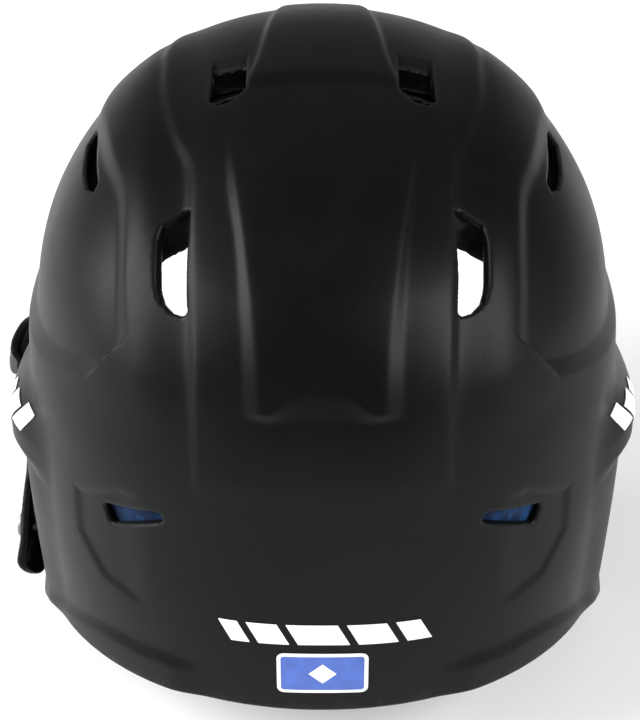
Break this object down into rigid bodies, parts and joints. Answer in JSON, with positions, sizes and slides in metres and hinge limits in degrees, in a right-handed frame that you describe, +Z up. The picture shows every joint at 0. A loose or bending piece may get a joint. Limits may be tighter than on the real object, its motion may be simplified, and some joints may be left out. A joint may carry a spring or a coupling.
{
  "type": "batting helmet",
  "caption": "Hard-shell batting helmet with brim, ear flaps, vents, foam liner, comfort pads and a jaw guard that slides on its screws.",
  "frame": {"origin": "on the symmetry plane, level with the flat lower edges of the ear flaps, under the widest section of the dome", "axes": "+Z up, +Y towards the back of the head, +X towards the wearer's left"},
  "size_m": [0.2314, 0.294, 0.2288],
  "materials": {
    "shell": "matte, slight orange peel",
    "impact_foam": "moulded bead foam",
    "rear_foam": "moulded bead foam",
    "pad_fabric": "brushed knit",
    "guard": "matte",
    "guard_foam": "closed-cell foam",
    "screw": "zinc plated",
    "nut": "zinc plated",
    "bushing": "matte rubber",
    "cap": "satin",
    "trim_white": "satin print",
    "trim_blue": "satin print"
  },
  "bodies": {
    "shell": {"outer_shell": "shell", "liner_front": "impact_foam", "liner_crown": "impact_foam", "liner_rear": "impact_foam", "liner_side_left": "impact_foam", "liner_side_right": "impact_foam", "liner_corner_left": "rear_foam", "liner_corner_right": "rear_foam", "pad_brow": "pad_fabric", "pad_crown": "pad_fabric", "pad_temple_left": "pad_fabric", "pad_temple_right": "pad_fabric", "pad_nape_left": "pad_fabric", "pad_nape_right": "pad_fabric", "pad_ear_left": "pad_fabric", "pad_ear_right": "pad_fabric", "guard_screws": "screw", "guard_nuts": "nut", "guard_bushings": "bushing", "guard_cap": "cap", "rear_bars": "trim_white", "side_bars_left": "trim_white", "side_bars_right": "trim_white", "badge_frame": "trim_white", "badge_field": "trim_blue", "badge_mark": "trim_white"},
    "guard": {"jaw_guard": "guard", "jaw_guard_pad": "guard_foam"}
  },
  "joints": [
    {"name": "guard_slide", "type": "slide", "parent": "shell", "child": "guard", "axis": [-0.2079, -0.9781, 0], "range_m": [-0.004, 0.004]}
  ]
}
